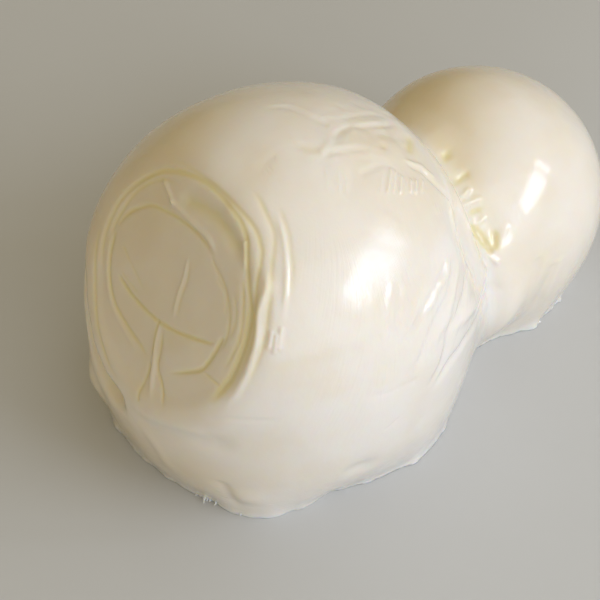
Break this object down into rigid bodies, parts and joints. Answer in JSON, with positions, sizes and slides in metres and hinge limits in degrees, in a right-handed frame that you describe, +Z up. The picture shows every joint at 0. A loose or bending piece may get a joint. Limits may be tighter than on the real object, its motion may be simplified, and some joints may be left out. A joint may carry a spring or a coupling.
{
  "type": "scamorza cheese",
  "caption": "Whole unsmoked scamorza: a round ivory belly with a flat pressed end, a pinched neck and a smaller round head, lying on its flat foot.",
  "frame": {"origin": "middle of the bounding box at the flat foot, on the surface that the cheese lies on", "axes": "+X from the flat end towards the head, +Z up, +Y to the cheese's left seen from the flat end"},
  "size_m": [0.1156, 0.074, 0.0705],
  "materials": {
    "curd": null
  },
  "bodies": {
    "root": {"scamorza": "curd"}
  },
  "joints": []
}
